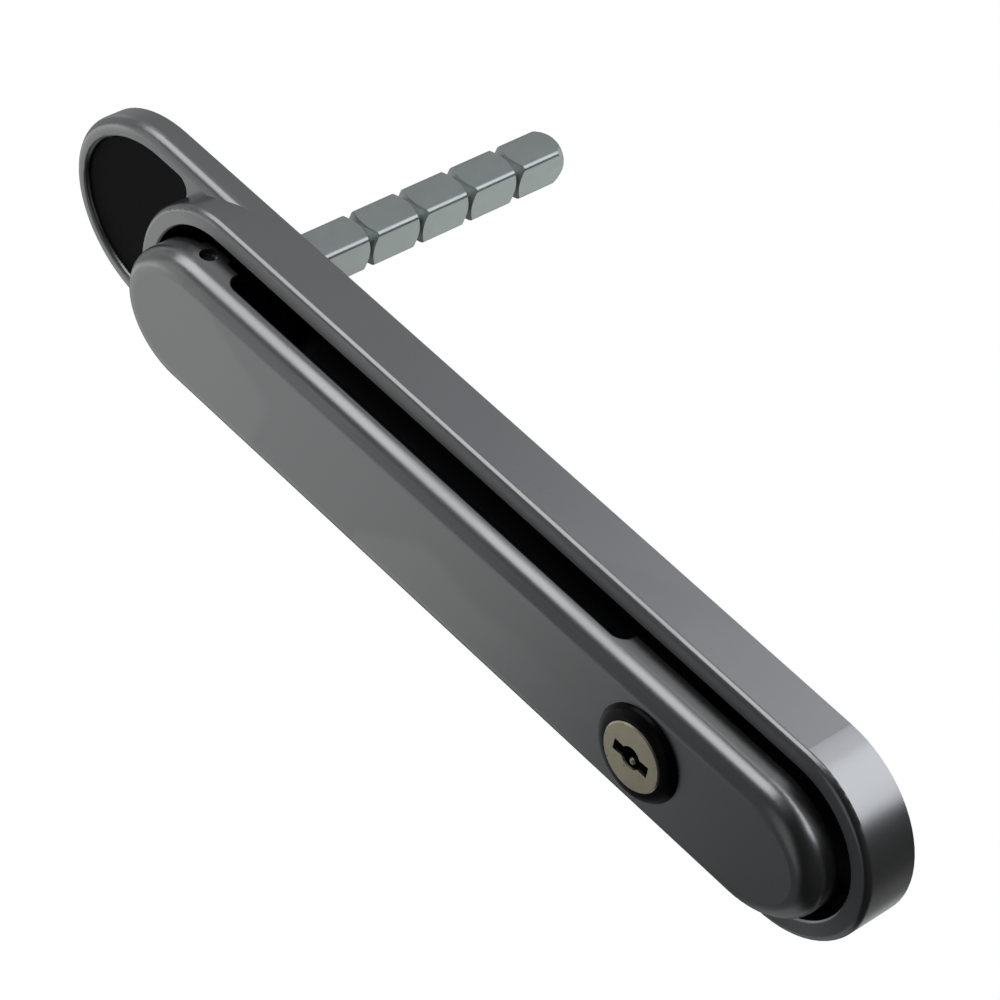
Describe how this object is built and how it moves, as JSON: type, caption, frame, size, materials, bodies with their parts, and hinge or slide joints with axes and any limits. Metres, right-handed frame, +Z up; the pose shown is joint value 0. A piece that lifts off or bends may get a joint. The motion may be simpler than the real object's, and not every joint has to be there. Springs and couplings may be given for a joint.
{
  "type": "folding bi-fold door handle",
  "caption": "Slim locking door handle whose lever folds flat into an oval collar, turns a grooved square spindle and has a finger notch in its side.",
  "frame": {"origin": "on the spindle's axis, in the plane of the door's face that the backplate lies on", "axes": "+X across the handle, +Y into the door along the spindle, +Z up along the handle towards its low end"},
  "size_m": [0.0394, 0.0946, 0.2143],
  "materials": {
    "satin_casting": "satin silver",
    "black_inlay": "flat black",
    "black_tray": "black moulded",
    "bearing_plastic": "moulded acetal",
    "zinc_plated_steel": "zinc plated",
    "blackened_steel": "black oxide",
    "black_gloss": "gloss black",
    "nickel_plated_brass": "satin nickel"
  },
  "bodies": {
    "housing": {"backplate": "satin_casting", "recess_pad": "black_inlay", "hub_bush": "bearing_plastic", "keeper_bush": "zinc_plated_steel"},
    "hub": {"hub": "blackened_steel", "spindle": "zinc_plated_steel", "spindle_pin": "zinc_plated_steel", "hub_washer": "zinc_plated_steel", "hub_circlip": "zinc_plated_steel"},
    "lever": {"lever_shell": "satin_casting", "lever_liner": "black_tray", "hinge_pin": "blackened_steel", "hinge_washer_left": "bearing_plastic", "hinge_washer_right": "bearing_plastic", "lock_bezel": "black_gloss", "lock_barrel": "nickel_plated_brass", "lock_nut": "zinc_plated_steel"},
    "lock_plug": {"lock_plug": "nickel_plated_brass", "lock_post": "zinc_plated_steel"},
    "lock_bolt": {"lock_bolt": "zinc_plated_steel"}
  },
  "joints": [
    {"name": "hub_turn", "type": "hinge", "parent": "housing", "child": "hub", "pos_m": [0, 0, 0], "axis": [0, 1, 0], "range_deg": [-90, 90]},
    {"name": "lever_fold", "type": "hinge", "parent": "hub", "child": "lever", "pos_m": [0, -0.0124, 0], "axis": [-1, 0, 0], "range_deg": [0, 35]},
    {"name": "key_turn", "type": "hinge", "parent": "lever", "child": "lock_plug", "pos_m": [0, -0.0182, -0.1228], "axis": [0, 1, 0], "range_deg": [0, 90]},
    {"name": "bolt_slide", "type": "slide", "parent": "lever", "child": "lock_bolt", "axis": [0, 1, 0], "range_m": [0, 0.003]}
  ],
  "couplings": [
    {"joint": "bolt_slide", "follows": "key_turn", "m_per_rad": 0.0019099}
  ]
}
